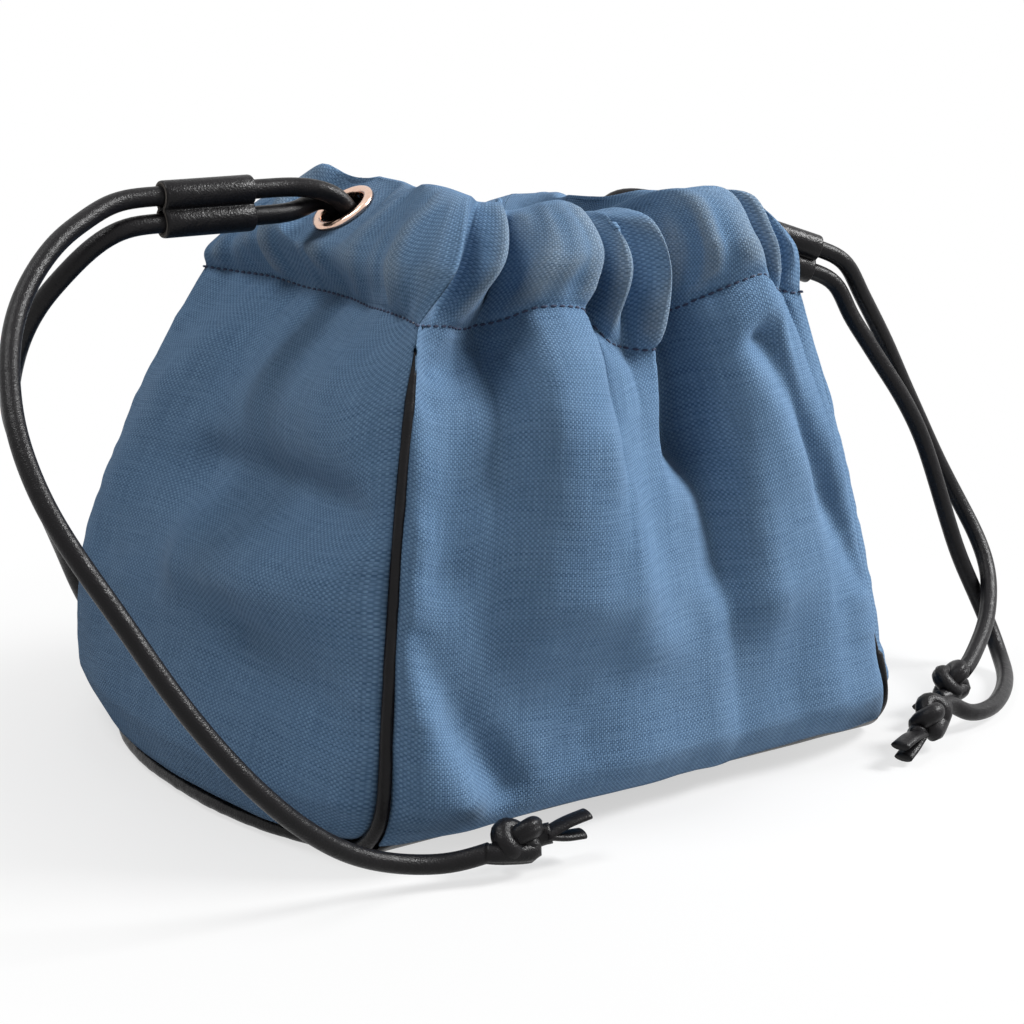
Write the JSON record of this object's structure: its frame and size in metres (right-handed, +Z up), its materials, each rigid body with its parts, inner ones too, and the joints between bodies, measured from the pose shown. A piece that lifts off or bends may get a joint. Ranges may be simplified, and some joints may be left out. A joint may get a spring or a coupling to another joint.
{
  "type": "drawstring pouch",
  "caption": "Canvas drawstring pouch with gathered hem, leather base, piping and cords, metal eyelets and sliding cord keepers.",
  "frame": {"origin": "middle of the pouch's underside, on the surface it stands on", "axes": "+Z up out of the mouth, X along the pouch's length between its end panels, front panel towards -Y"},
  "size_m": [0.3563, 0.2435, 0.1769],
  "materials": {
    "canvas": "matt washed canvas",
    "leather": "smooth, slightly glossy",
    "cord_leather": "smooth rolled leather cord",
    "eyelet_metal": "polished rose gold"
  },
  "bodies": {
    "pouch": {"front_panel": "canvas", "back_panel": "canvas", "left_end_panel": "canvas", "right_end_panel": "canvas", "base_panel": "leather", "left_piping": "leather", "right_piping": "leather", "left_eyelet": "eyelet_metal", "left_eyelet_washer": "eyelet_metal", "right_eyelet": "eyelet_metal", "right_eyelet_washer": "eyelet_metal", "left_cord_loop": "cord_leather", "right_cord_loop": "cord_leather", "left_front_strand": "cord_leather", "left_back_strand": "cord_leather", "right_upper_strand": "cord_leather", "right_lower_strand": "cord_leather", "left_front_knot": "cord_leather", "left_back_knot": "cord_leather", "right_upper_knot": "cord_leather", "right_lower_knot": "cord_leather"},
    "left_cord_keeper": {"left_keeper": "leather"},
    "right_cord_keeper": {"right_keeper": "leather"}
  },
  "joints": [
    {"name": "left_keeper_slide", "type": "slide", "parent": "pouch", "child": "left_cord_keeper", "axis": [-1, 0, 0], "range_m": [-0.012, 0.008]},
    {"name": "right_keeper_slide", "type": "slide", "parent": "pouch", "child": "right_cord_keeper", "axis": [0.9045, -0.2728, -0.3278], "range_m": [-0.012, 0.008]}
  ]
}
